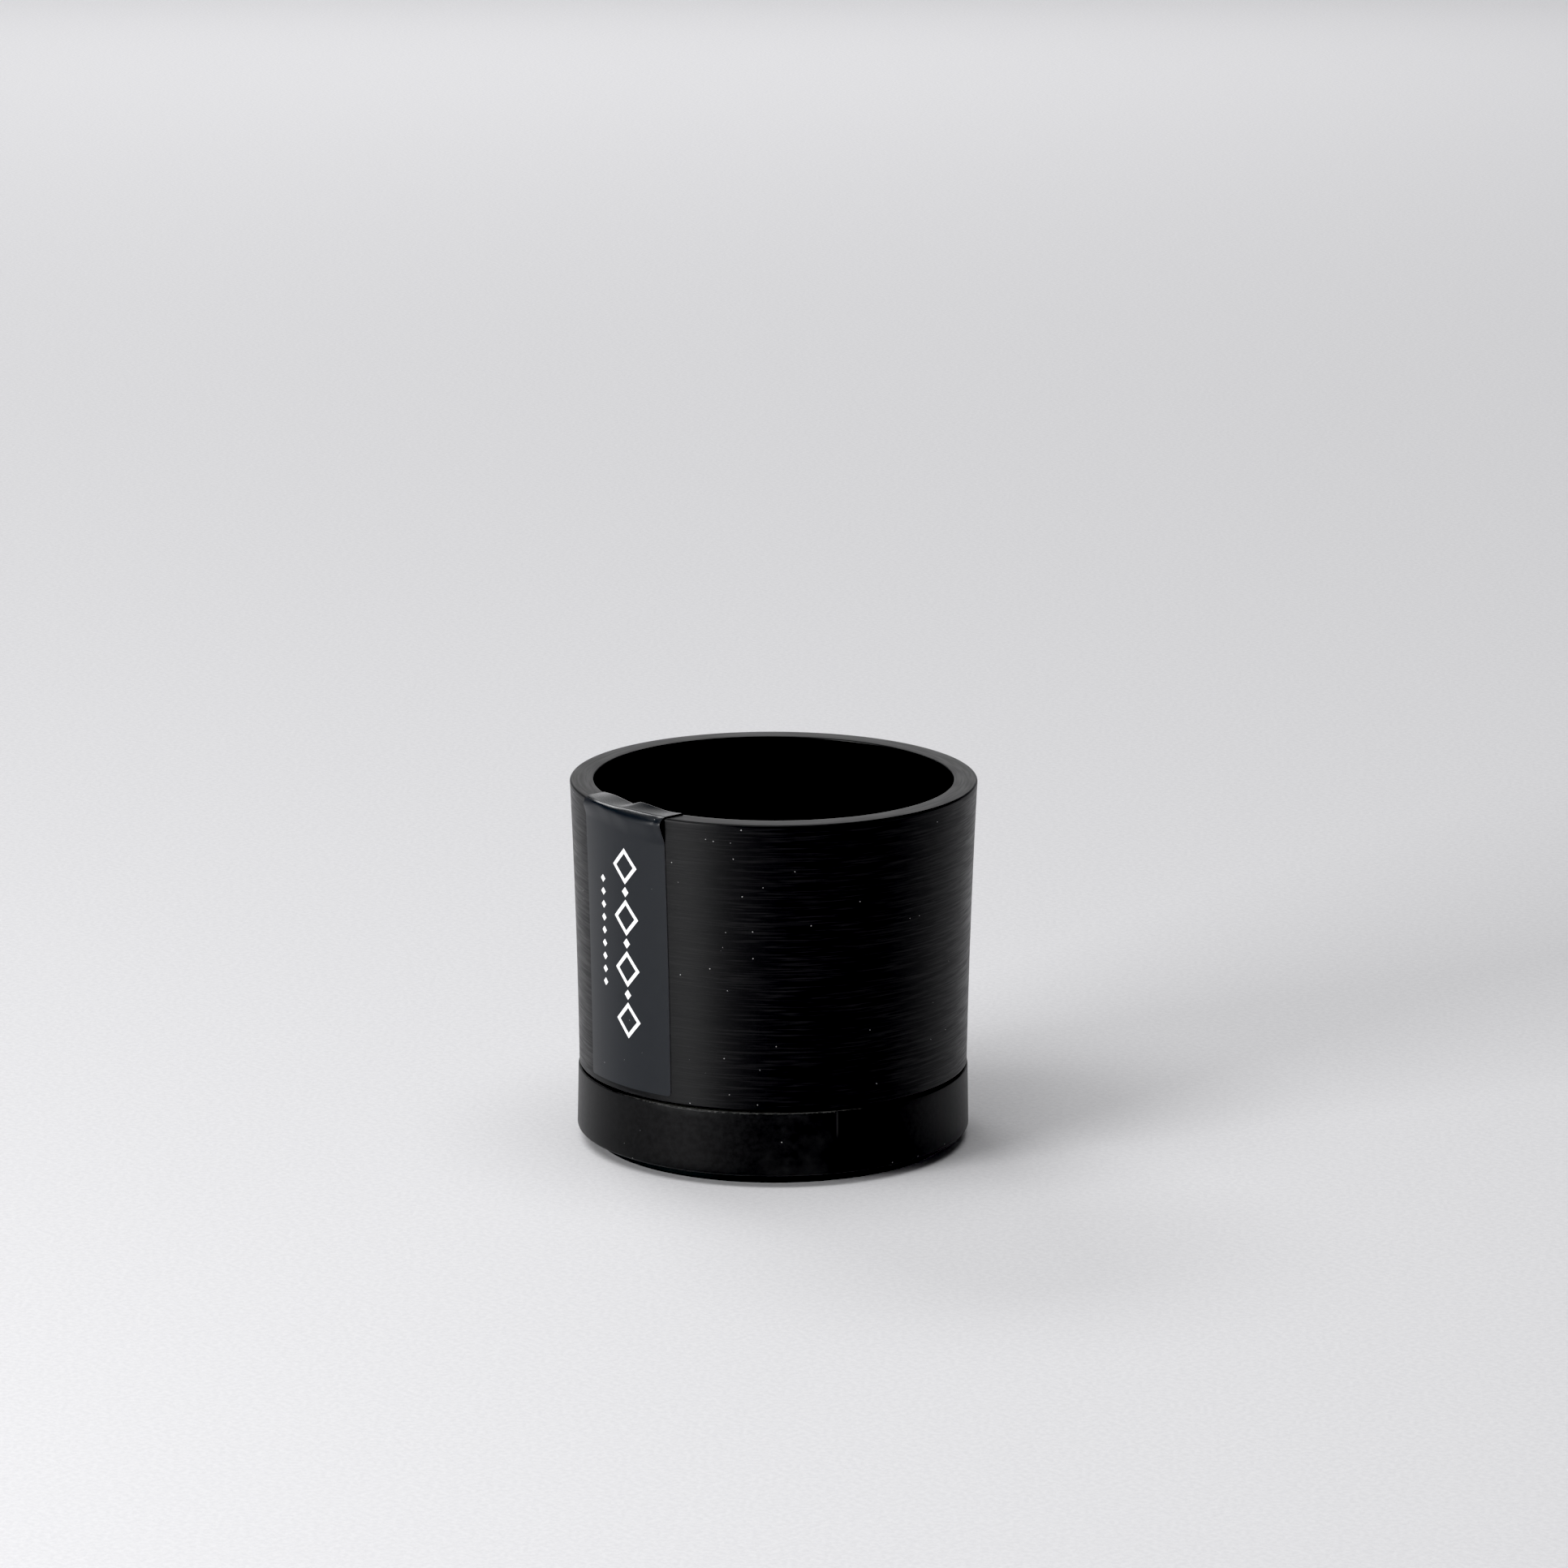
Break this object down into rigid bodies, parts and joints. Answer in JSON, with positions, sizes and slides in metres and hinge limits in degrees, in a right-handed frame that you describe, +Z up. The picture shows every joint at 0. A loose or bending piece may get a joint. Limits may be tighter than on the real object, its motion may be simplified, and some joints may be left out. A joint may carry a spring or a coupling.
{
  "type": "candle jar",
  "caption": "Round thick-walled empty candle jar with a gently flared wall, standing in a shallow base tray on a non-slip pad, with a seal label folded over the rim.",
  "frame": {"origin": "centre of the pad's underside, which stands on the table", "axes": "+Z up along the jar's axis; the label faces -Y"},
  "size_m": [0.086, 0.0863, 0.0782],
  "materials": {
    "jar": "matte, fine turned streaks",
    "tray": "matte, faintly mottled",
    "pad": "matte",
    "label": "satin"
  },
  "bodies": {
    "base": {"base_tray": "tray", "foot_pad": "pad"},
    "jar": {"jar_body": "jar", "label": "label"}
  },
  "joints": [
    {"name": "jar_lift", "type": "slide", "parent": "base", "child": "jar", "axis": [0, 0, 1], "range_m": [0, 0.04]}
  ]
}
